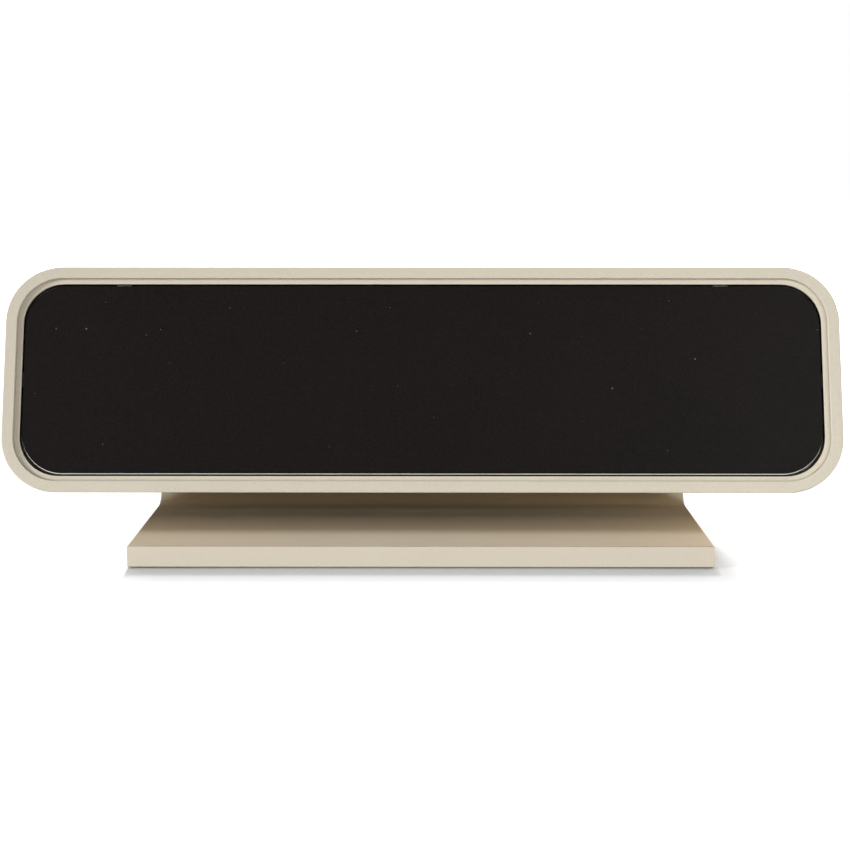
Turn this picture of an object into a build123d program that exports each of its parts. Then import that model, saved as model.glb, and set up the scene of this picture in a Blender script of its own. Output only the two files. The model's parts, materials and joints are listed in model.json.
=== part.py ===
"""Desk name plate: a moulded frame with a press-in name insert, on a moulded stand that leans it back.

Millimetres, +Z up, X to the reader's right, Y away from the reader.
The origin is on the desk, under the middle of the foot plate.
"""
import os
from math import cos, radians, sin, tan

from build123d import *

os.makedirs("parts", exist_ok=True)

# Stand: foot plate, cove and upright
stand_width = 133.4
plate_height = 5.0
plate_before_root = 51.3
plate_behind_root = 20.7
lean_angle = 17.8
upright_thickness = 2.4
upright_length = 42.0
upright_corner_radius = 4.0
upright_top_round = 0.5
cove_radius = 6.0
heel_radius = 1.5
stand_edge_round = 0.3
stand_wall = 2.0
stand_top_wall = 2.2

# Gussets behind the upright
gusset_count = 3
gusset_thickness = 2.0
gusset_rise = 24.0
gusset_run = 9.0

# Foot pads in their pockets under the foot plate
pad_diameter = 10.0
pad_thickness = 1.8
pad_proud = 0.3
pad_edge_round = 0.3
pad_clearance = 0.3
pad_pocket_wall = 1.4
pad_inset = 10.0

# Frame: flat border, step, ledge and recess
frame_width = 212.7
frame_height = 58.2
frame_depth = 8.0
frame_corner_radius = 14.2
frame_draft = 15.0
frame_tuck = 3.0
frame_front_round = 0.25
frame_back_round = 1.6
border_width = 2.95
step_depth = 1.0
step_round = 0.2
ledge_side_width = 1.45
ledge_end_width = 1.35
ledge_round = 0.15
recess_corner_radius = 10.1
floor_thickness = 1.8
back_wall = 2.2
back_gap = 0.1

# Thumb windows in the frame's floor, beyond the ends of the stand
window_margin = 4.5
window_rail_gap = 7.0
window_corner_radius = 4.0

# Back of the frame: seat ribs, the rails that hold the upright, and the stop that rests on it
seat_rib_count = 6
seat_rib_thickness = 1.6
rail_thickness = 2.4
rail_start = 8.0
rail_clearance = 0.15
rail_lead_in = 0.8
lip_reach = 3.0
lip_thickness = 2.0
lip_round = 0.5
stop_thickness = 2.4

# Name insert: a two-layer engraving sheet
insert_gap = 0.5
insert_corner_ease = 0.9
insert_sunk = 0.2
face_layer_thickness = 0.2
face_edge_round = 0.1
face_setback = 0.2
core_layer_thickness = 1.4

# Nubs on the recess wall that grip the insert's edge
nub_length = 4.0
nub_ramp = 0.3
nub_clearance = 0.05
nub_sunk = 1.0
nub_from_end = 25.4

# Levels and places in the stand
plate_depth = plate_before_root + plate_behind_root
plate_bottom = pad_proud
plate_top = plate_bottom + plate_height
plate_front = -plate_depth / 2
plate_back = plate_depth / 2
plate_hollow = plate_height - stand_top_wall
pad_seat = plate_bottom + pad_thickness - pad_proud
root_y = plate_front + plate_before_root
slope_y = sin(radians(lean_angle))
slope_z = cos(radians(lean_angle))
heel_y = root_y + upright_thickness / slope_z
cove_end = cove_radius * tan(radians(90 - lean_angle) / 2)

# Depths in the frame, measured forwards from the front face of the upright
ledge_level = frame_depth - step_depth
insert_thickness = face_layer_thickness + core_layer_thickness
floor_front = ledge_level - insert_sunk - insert_thickness
floor_back = floor_front - floor_thickness
core_front = floor_front + core_layer_thickness

# The drafted block of the frame starts wider by what its rounded front edge takes off
front_trim = frame_front_round * (tan(radians(frame_draft)) + 1 / cos(radians(frame_draft)) - 1)
draft_inset = (frame_depth - back_gap) * tan(radians(frame_draft)) - front_trim

# Outlines in the frame, across and up the slope
frame_middle = cove_end - frame_tuck + frame_height / 2
recess_width = frame_width - 2 * (border_width + ledge_side_width)
recess_height = frame_height - 2 * (border_width + ledge_end_width)
insert_width = recess_width - 2 * insert_gap
insert_height = recess_height - 2 * insert_gap
insert_radius = recess_corner_radius - insert_gap + insert_corner_ease
hollow_width = frame_width - 2 * (draft_inset + back_wall)
hollow_height = frame_height - 2 * (draft_inset + back_wall)
hollow_radius = frame_corner_radius - draft_inset - back_wall

# Rails beside the upright, with lips behind it
rail_inside = stand_width / 2 + rail_clearance
rail_outside = rail_inside + rail_thickness
rail_middle = rail_inside + rail_thickness / 2
rail_top = upright_length + stop_thickness
lip_inside = rail_inside - lip_reach
lip_back = -upright_thickness - rail_clearance - lip_thickness
lip_outline = [
    (rail_outside, rail_start),
    (rail_outside, rail_top),
    (lip_inside, rail_top),
    (lip_inside, rail_start + rail_lead_in),
    (lip_inside + rail_lead_in, rail_start),
]
seat_rib_pitch = 2 * rail_inside / (seat_rib_count + 1)

# Thumb windows between the rails and the ends of the recess
window_inside = rail_outside + window_rail_gap
window_outside = recess_width / 2 - window_margin
window_width = window_outside - window_inside
window_height = recess_height - 2 * window_margin
window_middle = (window_inside + window_outside) / 2
window_radius = min(window_corner_radius, window_width / 3)

# Places of the gussets across the stand, and of the foot pads
gusset_pitch = stand_width / gusset_count
gusset_places = [gusset_pitch * (number - (gusset_count - 1) / 2) for number in range(gusset_count)]
pad_x = stand_width / 2 - pad_inset
pad_y = plate_depth / 2 - pad_inset
pad_names = ["foot_front_left", "foot_front_right", "foot_rear_left", "foot_rear_right"]
pad_places = [(-pad_x, -pad_y), (pad_x, -pad_y), (-pad_x, pad_y), (pad_x, pad_y)]

# Nub outline, pointing down from the top wall, and where each nub stands with its turn
nub_reach = insert_gap - nub_clearance
nub_root = ledge_end_width / 2
nub_outline = [
    (-nub_length / 2, nub_root),
    (-nub_length / 2, 0),
    (-nub_length / 2 + nub_ramp, -nub_reach),
    (nub_length / 2 - nub_ramp, -nub_reach),
    (nub_length / 2, 0),
    (nub_length / 2, nub_root),
]
nub_x = recess_width / 2 - nub_from_end
nub_places = [
    ((-nub_x, recess_height / 2), 0),
    ((nub_x, recess_height / 2), 0),
    ((recess_width / 2, 0), -90),
    ((-recess_width / 2, 0), 90),
]

# The two directions of the slope, from the root of the upright
forwards = Axis((0, root_y, plate_top), (0, -slope_z, slope_y))
up_slope = Axis((0, root_y, plate_top), (0, slope_y, slope_z))


def slope_point(depth, up):
    """A point of the side view, in Y and Z, from its depth in front of the upright and its height up it."""
    return (root_y + up * slope_y - depth * slope_z, plate_top + up * slope_z + depth * slope_y)


def lean_plane(depth, up=0):
    """A plane along the slope: X across, Y up the slope, Z forwards, depth in front of the upright."""
    return Plane(origin=(0, *slope_point(depth, up)), x_dir=(1, 0, 0), z_dir=forwards.direction)


# Stand: foot plate, cove and upright as one moulding
with BuildPart() as stand:
    with BuildSketch(Plane.YZ) as section:
        with BuildLine():
            Polyline(
                (plate_front, plate_bottom),
                (plate_back, plate_bottom),
                (plate_back, plate_top),
                (heel_y, plate_top),
                slope_point(-upright_thickness, upright_length),
                slope_point(0, upright_length),
                (root_y, plate_top),
                (plate_front, plate_top),
                close=True,
            )
        make_face()
        fillet(section.vertices().sort_by_distance((root_y, plate_top))[0], cove_radius)
        fillet(section.vertices().sort_by_distance((heel_y, plate_top))[0], heel_radius)
    extrude(amount=stand_width / 2, both=True)
    top_edges = stand.faces().sort_by(up_slope)[-1].edges()
    fillet(top_edges.filter_by(Axis.X, reverse=True), upright_corner_radius)
    top_edges = stand.faces().sort_by(up_slope)[-1].edges()
    fillet(top_edges.filter_by(Axis.X), upright_top_round)
    outer_faces = [stand.faces().sort_by(axis)[end] for axis in (Axis.X, Axis.Y) for end in (0, -1)]
    fillet({edge for face in outer_faces for edge in face.edges()}, stand_edge_round)

    # Gussets behind the upright
    with BuildSketch(*[Plane.YZ.offset(x) for x in gusset_places]):
        with BuildLine():
            Polyline(
                (heel_y + gusset_run, plate_top - stand_top_wall / 2),
                slope_point(-upright_thickness, gusset_rise),
                slope_point(-upright_thickness / 2, gusset_rise),
                (root_y + upright_thickness / 2, plate_top - stand_top_wall / 2),
                close=True,
            )
        make_face()
    extrude(amount=gusset_thickness / 2, both=True)

    # Hollow underside
    with BuildSketch(Plane.XY.offset(plate_bottom)):
        Rectangle(stand_width - 2 * stand_wall, plate_depth - 2 * stand_wall)
    extrude(amount=plate_hollow, mode=Mode.SUBTRACT)

    # Pockets for the foot pads
    with BuildSketch(Plane.XY.offset(plate_bottom)):
        with Locations(*pad_places):
            Circle(pad_diameter / 2 + pad_clearance + pad_pocket_wall)
    extrude(amount=plate_hollow + stand_top_wall / 2)
    with BuildSketch(Plane.XY.offset(pad_seat)):
        with Locations(*pad_places):
            Circle(pad_diameter / 2 + pad_clearance)
    extrude(amount=-pad_thickness, mode=Mode.SUBTRACT)

stand.part.label = "stand"
export_step(stand.part, "parts/stand.step")

# Foot pads, one in each pocket
for pad_name, pad_place in zip(pad_names, pad_places):
    with BuildPart() as pad:
        with BuildSketch(Plane.XY):
            with Locations(pad_place):
                Circle(pad_diameter / 2)
        extrude(amount=pad_thickness)
        fillet(pad.edges().sort_by(Axis.Z)[0], pad_edge_round)
    pad.part.label = pad_name
    export_step(pad.part, f"parts/{pad_name}.step")

# Frame: the outer block is drafted, so that it is widest at its front edge
with BuildPart() as frame:
    with BuildSketch(lean_plane(frame_depth, frame_middle)):
        RectangleRounded(
            frame_width + 2 * front_trim,
            frame_height + 2 * front_trim,
            frame_corner_radius + front_trim,
        )
    extrude(amount=back_gap - frame_depth, taper=frame_draft)
    fillet(frame.faces().sort_by(forwards)[-1].edges(), frame_front_round)
    fillet(frame.faces().sort_by(forwards)[0].edges(), frame_back_round)

    # Step, recess and hollow back, which leave the border, the ledge and the floor
    with BuildSketch(lean_plane(frame_depth, frame_middle)):
        RectangleRounded(
            frame_width - 2 * border_width,
            frame_height - 2 * border_width,
            frame_corner_radius - border_width,
        )
    extrude(amount=-step_depth, mode=Mode.SUBTRACT)
    with BuildSketch(lean_plane(frame_depth, frame_middle)):
        RectangleRounded(recess_width, recess_height, recess_corner_radius)
    extrude(amount=floor_front - frame_depth, mode=Mode.SUBTRACT)
    with BuildSketch(lean_plane(floor_back, frame_middle)):
        RectangleRounded(hollow_width, hollow_height, hollow_radius)
    extrude(amount=-floor_back, mode=Mode.SUBTRACT)
    border = frame.faces().sort_by(forwards)[-1]
    fillet(border.inner_wires()[0].edges(), step_round)
    ledge = frame.faces().filter_by_position(forwards, ledge_level - ledge_round, ledge_level + ledge_round)
    fillet(ledge[0].inner_wires()[0].edges(), ledge_round)

    # Thumb windows, to push the insert out from behind
    with BuildSketch(lean_plane(floor_front, frame_middle)):
        with Locations((-window_middle, 0), (window_middle, 0)):
            RectangleRounded(window_width, window_height, window_radius)
    extrude(amount=-floor_thickness, mode=Mode.SUBTRACT)

    # Seat ribs against the upright
    with BuildSketch(lean_plane(back_gap, frame_middle)):
        with GridLocations(seat_rib_pitch, 0, seat_rib_count, 1):
            Rectangle(seat_rib_thickness, hollow_height + back_wall)
    extrude(amount=floor_back - back_gap + floor_thickness / 2)

    # Rails round the edges of the upright, and the stop across its top
    with BuildSketch(lean_plane(lip_back)):
        with Locations((-rail_middle, rail_start), (rail_middle, rail_start)):
            Rectangle(rail_thickness, rail_top - rail_start, align=(Align.CENTER, Align.MIN))
    extrude(amount=floor_back - lip_back + floor_thickness / 2)
    with BuildSketch(lean_plane(lip_back)):
        Polygon(*lip_outline, align=None)
        mirror(about=Plane.YZ)
    extrude(amount=lip_thickness)
    lip_faces = frame.faces().sort_by(forwards)[:2]
    fillet([edge for face in lip_faces for edge in face.edges()], lip_round)
    with BuildSketch(lean_plane(-upright_thickness, upright_length)):
        Rectangle(2 * rail_outside, stop_thickness, align=(Align.CENTER, Align.MIN))
    extrude(amount=upright_thickness + floor_back + floor_thickness / 2)

    # Nubs on the top and end walls of the recess
    with BuildSketch(lean_plane(floor_front, frame_middle)):
        for nub_place, nub_turn in nub_places:
            with Locations(nub_place):
                Polygon(*nub_outline, rotation=nub_turn, align=None)
    extrude(amount=ledge_level - nub_sunk - floor_front)

frame.part.label = "frame"
export_step(frame.part, "parts/frame.step")

# Name insert, core layer on the floor of the recess
with BuildPart() as insert_core_layer:
    with BuildSketch(lean_plane(floor_front, frame_middle)):
        RectangleRounded(insert_width, insert_height, insert_radius)
    extrude(amount=core_layer_thickness)

insert_core_layer.part.label = "insert_core_layer"
export_step(insert_core_layer.part, "parts/insert_core_layer.step")

# Name insert, face layer over the core, set back from the core's lower edge
with BuildPart() as insert_face_layer:
    with BuildSketch(lean_plane(core_front, frame_middle + face_setback / 2)):
        RectangleRounded(insert_width, insert_height - face_setback, insert_radius)
    extrude(amount=face_layer_thickness)
    fillet(insert_face_layer.faces().sort_by(forwards)[-1].edges(), face_edge_round)

insert_face_layer.part.label = "insert_face_layer"
export_step(insert_face_layer.part, "parts/insert_face_layer.step")
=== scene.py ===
"""Looks of the desk name plate: a finish for every piece, a white studio and the photograph's camera.

Metres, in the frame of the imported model: X to the reader's right, Y away from the reader, Z up.
"""
import json
from math import cos, radians, sin

import bpy
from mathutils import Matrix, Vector

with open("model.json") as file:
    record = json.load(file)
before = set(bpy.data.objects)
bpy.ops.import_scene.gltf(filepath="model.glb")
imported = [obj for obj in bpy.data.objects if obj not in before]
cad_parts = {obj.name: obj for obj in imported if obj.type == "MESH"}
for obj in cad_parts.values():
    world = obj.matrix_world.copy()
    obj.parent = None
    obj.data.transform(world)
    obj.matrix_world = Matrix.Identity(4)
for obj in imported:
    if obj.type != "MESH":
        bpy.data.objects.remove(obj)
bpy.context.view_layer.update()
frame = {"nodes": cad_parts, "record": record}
nodes = frame["nodes"]

# Camera: its place, degrees down and to the left, lens in millimetres, and how near it starts to see
camera_place = (0.00267, -0.42469, 0.09324)
camera_pitch = 8.80
camera_turn = 0.248
sensor_width = 36.0
focal_length = 74.3
camera_clip_start = 0.01

# Colours of the finishes, linear
putty_colour = (0.684, 0.624, 0.515)
putty_shade = (0.658, 0.599, 0.489)
putty_pore = (0.588, 0.532, 0.431)
black_colour = (0.0036, 0.0019, 0.0016)
black_shade = (0.0022, 0.0011, 0.0009)
black_grit = (0.0100, 0.0078, 0.0070)
speck_colour = (0.12, 0.115, 0.11)
core_colour = (0.78, 0.76, 0.71)
core_shade = (0.70, 0.675, 0.62)
rubber_colour = (0.030, 0.030, 0.031)
rubber_shade = (0.018, 0.018, 0.019)
# Colour of the shade painted deep in narrow gaps
painted_gap_shade = (0.010, 0.008, 0.006)
white = (1.0, 1.0, 1.0)

# How much of the second colour shows at the most, and between which shares the black's grit runs
putty_cloud_share = 0.6
putty_pore_share = 0.5
black_grit_shares = (-0.2, 0.6)

# Roughness from one end of the grain to the other, and the level of the gloss
putty_roughness = (0.58, 0.72)
black_roughness = (0.38, 0.48)
core_roughness = (0.55, 0.75)
rubber_roughness = (0.75, 0.92)
putty_gloss = 0.01
black_gloss = 0.09

# Sizes of the grain, clouds, streaks and specks
putty_cloud_size = 0.018
putty_grain_size = 0.00045
putty_grain_height = 0.000014
black_cloud_size = 0.03
black_grain_size = 0.0004
black_grain_height = 0.000003
speck_pitch = 0.007
speck_radius = 0.00026
speck_share = 0.35
core_streak_size = 0.0006
core_streak_stretch = 12.0
rubber_grain_size = 0.0005
rubber_grain_height = 0.00002

# Shade painted into narrow gaps: how wide they are, and the openness at which the painted shade starts and is
# darkest
crevice_reach = 0.0016
crevice_span = (0.58, 0.32)
crevice_samples = 8

# Noise: where most of its values lie, and how many finer layers it has
noise_span = (0.3, 0.7)
plain_detail = 2.0
rich_detail = 3.0
dense_detail = 4.0

# Floor: its colour as seen and as it throws light back, its glow and the contact shadow painted into that
# glow under the object
floor_size = 6.0
floor_colour = (0.50, 0.50, 0.50)
floor_bounce = (0.25, 0.25, 0.25)
floor_glow_near = 0.54
floor_glow_far = 1.0
floor_fade = (0.16, 0.40)
contact_reach = 0.014
contact_power = 1.3
contact_side = (0.0, 0.92, 0.39)

# Sky: its light from the horizon up to where it stays the same
horizon_glow = (0.62, 0.44, 0.29)
zenith_glow = (0.020, 0.014, 0.009)
glow_height = 0.25

# Colours of the lamps
front_light = (0.955, 0.985, 1.0)
bounce_light = (0.98, 0.98, 0.995)
end_light = (1.0, 0.77, 0.50)
warm_light = (1.0, 0.87, 0.72)

# Lamps: degrees around the object and up, distance, width and height, and watts
lamp_target = Vector((0.0, 0.0, 0.03))
softboxes = {
    "left_softbox": {"turn": -64.0, "rise": 16.0, "distance": 3.0, "size": (1.2, 1.5), "power": 90.0},
    "right_softbox": {"turn": 44.0, "rise": 18.0, "distance": 0.7, "size": (0.29, 0.35), "power": 2.0},
}
front_strips = {
    "front_strip": {"turn": 0.0, "rise": -22.0, "distance": 0.14, "size": (0.26, 0.01), "power": 0.066},
}
table_bounces = {
    "left_bounce": {"turn": -30.0, "rise": -16.0, "distance": 1.2, "size": (0.5, 0.3), "power": 6.9},
    "right_bounce": {"turn": 28.0, "rise": -16.0, "distance": 1.2, "size": (0.5, 0.3), "power": 7.9},
}
end_lamps = {
    "left_end_lamp": {"turn": -76.0, "rise": -4.0, "distance": 0.105, "size": (0.03, 0.02), "power": 0.0050},
    "right_end_lamp": {"turn": 76.0, "rise": -4.0, "distance": 0.105, "size": (0.03, 0.02), "power": 0.0115},
}
top_softboxes = {
    "top_softbox": {"turn": 180.0, "rise": 54.6, "distance": 0.7, "size": (0.7, 0.25), "power": 2.8},
}
back_strips = {
    "back_strip": {"turn": 180.0, "rise": 51.5, "distance": 0.9, "size": (0.5, 0.063), "power": 3.4},
}
floor_lamps = {
    "floor_lamp": {"turn": -176.0, "rise": 25.0, "distance": 3.0, "size": (0.3, 2.0), "power": 232.0},
}


def colour_blend(tree, share, first, second):
    """A colour between two, by share. Either may be a colour or another node's output."""
    node = tree.nodes.new("ShaderNodeMix")
    node.data_type = "RGBA"
    tree.links.new(share, node.inputs["Factor"])
    for colour, socket in ((first, node.inputs["A"]), (second, node.inputs["B"])):
        if isinstance(colour, tuple):
            socket.default_value = (*colour, 1.0)
        else:
            tree.links.new(colour, socket)
    return node.outputs["Result"]


def value_ramp(tree, value, span, low=0.0, high=1.0):
    """A value that runs from low to high as another one crosses the span."""
    node = tree.nodes.new("ShaderNodeMapRange")
    ends = {"From Min": span[0], "From Max": span[1], "To Min": low, "To Max": high}
    for name, number in ends.items():
        node.inputs[name].default_value = number
    tree.links.new(value, node.inputs["Value"])
    return node.outputs["Result"]


class Finish:
    """A new material with its shader, and short ways to add nodes to it."""

    def __init__(self, name):
        self.material = bpy.data.materials.new(name)
        self.material.use_nodes = True
        self.tree = self.material.node_tree
        self.shader = self.tree.nodes["Principled BSDF"]
        self.place = self.add("ShaderNodeTexCoord").outputs["Object"]

    def add(self, kind, **settings):
        """A node of that kind, with its settings."""
        node = self.tree.nodes.new(kind)
        for key, value in settings.items():
            setattr(node, key, value)
        return node

    def link(self, output, socket):
        """Joins an output to a socket."""
        self.tree.links.new(output, socket)

    def noise(self, size, detail=plain_detail, place=None):
        """Noise whose features are about that size, as a value from 0 to 1."""
        node = self.add("ShaderNodeTexNoise")
        node.inputs["Scale"].default_value = 1 / size
        node.inputs["Detail"].default_value = detail
        self.link(place or self.place, node.inputs["Vector"])
        return node.outputs["Fac"]

    def blend(self, share, first, second):
        """A colour between two, by share. Either may be a colour or another node's output."""
        return colour_blend(self.tree, share, first, second)

    def ramp(self, value, span, low=0.0, high=1.0):
        """A value that runs from low to high as another one crosses the span."""
        return value_ramp(self.tree, value, span, low, high)

    def spread(self, value, low=0.0, high=1.0):
        """A value of noise, brought to run from low to high."""
        return self.ramp(value, noise_span, low, high)

    def colour(self, output):
        """Sets the shader's colour."""
        self.link(output, self.shader.inputs["Base Color"])

    def roughness(self, output):
        """Sets the shader's roughness."""
        self.link(output, self.shader.inputs["Roughness"])

    def gloss(self, level):
        """Sets the level of the shader's gloss."""
        self.shader.inputs["Specular IOR Level"].default_value = level

    def matt(self):
        """Takes all the gloss off the surface."""
        self.shader.inputs["Roughness"].default_value = 1.0
        self.gloss(0.0)

    def crevice(self):
        """A mask for painted shade: a value of 1 deep in a narrow gap, and 0 where the surface is open."""
        node = self.add("ShaderNodeAmbientOcclusion", samples=crevice_samples)
        node.inputs["Distance"].default_value = crevice_reach
        return self.ramp(node.outputs["AO"], crevice_span)

    def math(self, operation, first, second):
        """Arithmetic on two values, of which the second may be a number."""
        node = self.add("ShaderNodeMath", operation=operation)
        self.link(first, node.inputs[0])
        if isinstance(second, float):
            node.inputs[1].default_value = second
        else:
            self.link(second, node.inputs[1])
        return node.outputs["Value"]

    def relief(self, height, depth):
        """Raises the surface by the height value, at most by depth."""
        node = self.add("ShaderNodeBump")
        node.inputs["Distance"].default_value = depth
        self.link(height, node.inputs["Height"])
        self.link(node.outputs["Normal"], self.shader.inputs["Normal"])


def putty_plastic():
    """Matt moulded plastic: a fine spark-eroded grain, faint flow clouds and shade painted into narrow gaps.
    """
    finish = Finish("putty_plastic")
    cloud = finish.spread(finish.noise(putty_cloud_size, rich_detail), high=putty_cloud_share)
    grain = finish.noise(putty_grain_size, rich_detail)
    clouded = finish.blend(cloud, putty_colour, putty_shade)
    grained = finish.blend(finish.spread(grain, high=putty_pore_share), clouded, putty_pore)
    # Narrow gaps get painted shade, darkest deep inside them
    finish.colour(finish.blend(finish.crevice(), grained, painted_gap_shade))
    finish.roughness(finish.spread(grain, *putty_roughness))
    finish.relief(grain, putty_grain_height)
    finish.gloss(putty_gloss)
    return finish.material


def dust_specks(finish):
    """A value of 1 on a few small specks, laid out across the width and height, and 0 between them."""
    split = finish.add("ShaderNodeSeparateXYZ")
    finish.link(finish.place, split.inputs["Vector"])
    flat = finish.add("ShaderNodeCombineXYZ")
    finish.link(split.outputs["X"], flat.inputs["X"])
    finish.link(split.outputs["Z"], flat.inputs["Y"])
    cells = finish.add("ShaderNodeTexVoronoi", voronoi_dimensions="2D")
    cells.inputs["Scale"].default_value = 1 / speck_pitch
    finish.link(flat.outputs["Vector"], cells.inputs["Vector"])
    radius = finish.ramp(cells.outputs["Color"], (1 - speck_share, 1.0), high=speck_radius / speck_pitch)
    return finish.math("LESS_THAN", cells.outputs["Distance"], radius)


def black_laminate():
    """Satin black cap of an engraving sheet: fine grain, faint clouds and a few specks of dust."""
    finish = Finish("black_laminate")
    cloud = finish.noise(black_cloud_size, rich_detail)
    grain = finish.noise(black_grain_size)
    clouded = finish.blend(finish.spread(cloud), black_colour, black_shade)
    gritty = finish.blend(finish.spread(grain, *black_grit_shares), clouded, black_grit)
    finish.colour(finish.blend(dust_specks(finish), gritty, speck_colour))
    finish.roughness(finish.spread(grain, *black_roughness))
    finish.relief(grain, black_grain_height)
    finish.gloss(black_gloss)
    return finish.material


def pale_laminate():
    """Pale core of the engraving sheet: streaks of the saw along its edge and shade painted into narrow gaps.
    """
    finish = Finish("pale_laminate")
    stretch = finish.add("ShaderNodeMapping")
    stretch.inputs["Scale"].default_value = (1.0, core_streak_stretch, core_streak_stretch)
    finish.link(finish.place, stretch.inputs["Vector"])
    streak = finish.noise(core_streak_size * core_streak_stretch, place=stretch.outputs["Vector"])
    streaked = finish.blend(finish.spread(streak), core_colour, core_shade)
    # Narrow gaps get painted shade, darkest deep inside them
    finish.colour(finish.blend(finish.crevice(), streaked, painted_gap_shade))
    finish.roughness(finish.spread(streak, *core_roughness))
    return finish.material


def foot_rubber():
    """Dull dark rubber."""
    finish = Finish("foot_rubber")
    grain = finish.noise(rubber_grain_size, dense_detail)
    finish.colour(finish.blend(finish.spread(grain), rubber_colour, rubber_shade))
    finish.roughness(finish.spread(grain, *rubber_roughness))
    finish.relief(grain, rubber_grain_height)
    return finish.material


def dress_nodes():
    """Gives each node of the model the finish of its material slot."""
    finishes = {make.__name__: make() for make in (putty_plastic, black_laminate, pale_laminate, foot_rubber)}
    for subpart in frame["record"]["subparts"]:
        piece = nodes[subpart["node"]]
        piece.data.materials.clear()
        piece.data.materials.append(finishes[subpart["material_slot"]])


def seen_directly(tree):
    """A value of 1 for rays from the camera, or from a mirror or a clear pane, and 0 for scattered light."""
    path = tree.nodes.new("ShaderNodeLightPath")
    total = path.outputs["Is Camera Ray"]
    for name in ("Is Glossy Ray", "Is Transmission Ray"):
        either = tree.nodes.new("ShaderNodeMath")
        either.operation = "MAXIMUM"
        tree.links.new(total, either.inputs[0])
        tree.links.new(path.outputs[name], either.inputs[1])
        total = either.outputs["Value"]
    return total


def floor_finish():
    """A pale matt floor with the object's shadow from the lamps and a contact shadow painted into its glow,
    which glows to white away from it.
    """
    finish = Finish("floor")
    finish.matt()
    direct = seen_directly(finish.tree)
    finish.colour(finish.blend(direct, floor_bounce, floor_colour))
    finish.shader.inputs["Emission Color"].default_value = (*white, 1.0)
    away = finish.add("ShaderNodeVectorMath", operation="LENGTH")
    finish.link(finish.place, away.inputs[0])
    fade = finish.ramp(away.outputs["Value"], floor_fade, floor_glow_near, floor_glow_far)
    # Painted contact shadow: the glow is darkened where the object hides the floor, leaning to the back so
    # that it falls in front
    side = finish.add("ShaderNodeNormal")
    side.outputs["Normal"].default_value = contact_side
    contact = finish.add("ShaderNodeAmbientOcclusion")
    contact.inputs["Distance"].default_value = contact_reach
    finish.link(side.outputs["Normal"], contact.inputs["Normal"])
    painted_contact_shadow = finish.math("POWER", contact.outputs["AO"], contact_power)
    glow = finish.math("MULTIPLY", fade, painted_contact_shadow)
    finish.link(finish.math("MULTIPLY", glow, direct), finish.shader.inputs["Emission Strength"])
    return finish.material


def build_floor():
    """The floor, a level square around the origin."""
    half = floor_size / 2
    corners = [(x, y, 0.0) for y in (-half, half) for x in (-half, half)]
    mesh = bpy.data.meshes.new("floor")
    mesh.from_pydata(corners, [], [(0, 1, 3, 2)])
    mesh.materials.append(floor_finish())
    floor = bpy.data.objects.new("floor", mesh)
    bpy.context.scene.collection.objects.link(floor)
    return floor


def build_sky():
    """A sky that looks white, and lights the object a little with the warm light of a room."""
    world = bpy.data.worlds.new("sky")
    world.use_nodes = True
    tree = world.node_tree
    direction = tree.nodes.new("ShaderNodeSeparateXYZ")
    tree.links.new(tree.nodes.new("ShaderNodeTexCoord").outputs["Generated"], direction.inputs["Vector"])
    height = value_ramp(tree, direction.outputs["Z"], (0.0, glow_height))
    glow = colour_blend(tree, height, horizon_glow, zenith_glow)
    shade = colour_blend(tree, seen_directly(tree), glow, white)
    tree.links.new(shade, tree.nodes["Background"].inputs["Color"])
    bpy.context.scene.world = world


def light_list(name, members, state):
    """A list of objects for a lamp: the only ones it takes in, or, with EXCLUDE, the ones it passes by."""
    chosen = bpy.data.collections.new(name)
    for member in members:
        chosen.objects.link(member)
    for entry in chosen.collection_objects:
        entry.light_linking.link_state = state
    return chosen


def build_lamp(name, colour, turn, rise, distance, size, power):
    """A soft lamp turned towards the object. A turn of 0 is in front, and 90 on the right."""
    data = bpy.data.lights.new(name, "AREA")
    data.color = colour
    data.shape = "RECTANGLE"
    data.size, data.size_y = size
    data.energy = power
    turn, rise = radians(turn), radians(rise)
    towards = Vector((sin(turn) * cos(rise), -cos(turn) * cos(rise), sin(rise)))
    lamp = bpy.data.objects.new(name, data)
    lamp.location = lamp_target + towards * distance
    lamp.rotation_euler = towards.to_track_quat("Z", "Y").to_euler()
    lamp.visible_camera = False
    bpy.context.scene.collection.objects.link(lamp)
    return lamp


def build_lamps(floor):
    """Every lamp, with its colour, what it lights and what shades it, where that isn't everything."""
    body_nodes = frame["record"]["behaviour"]["bodies"]
    stand_nodes = [nodes[name] for name in body_nodes["stand"]]
    sign_nodes = [nodes[name] for name in body_nodes["frame"] + body_nodes["insert"]]
    stand_only = light_list("stand_only", stand_nodes, "INCLUDE")
    all_but_stand = light_list("all_but_stand", stand_nodes, "EXCLUDE")
    sign_only = light_list("sign_only", sign_nodes, "INCLUDE")
    floor_only = light_list("floor_only", [floor], "INCLUDE")
    all_but_floor = light_list("all_but_floor", [floor], "EXCLUDE")
    lamp_sets = (
        (softboxes, front_light, all_but_stand, None),
        (front_strips, front_light, sign_only, sign_only),
        (table_bounces, bounce_light, stand_only, all_but_floor),
        (end_lamps, end_light, stand_only, None),
        (top_softboxes, warm_light, all_but_floor, None),
        (back_strips, white, all_but_floor, None),
        (floor_lamps, white, floor_only, stand_only),
    )
    for lamps, colour, lit, shading in lamp_sets:
        for name, values in lamps.items():
            linking = build_lamp(name, colour, **values).light_linking
            linking.receiver_collection = lit
            linking.blocker_collection = shading


def build_camera():
    """The photograph's camera."""
    data = bpy.data.cameras.new("camera")
    data.sensor_width = sensor_width
    data.lens = focal_length
    data.clip_start = camera_clip_start
    camera = bpy.data.objects.new("camera", data)
    camera.location = camera_place
    camera.rotation_euler = (radians(90 - camera_pitch), 0.0, radians(camera_turn))
    bpy.context.scene.collection.objects.link(camera)
    bpy.context.scene.camera = camera


dress_nodes()
build_sky()
build_lamps(build_floor())
build_camera()
bpy.context.scene.view_settings.view_transform = "Standard"
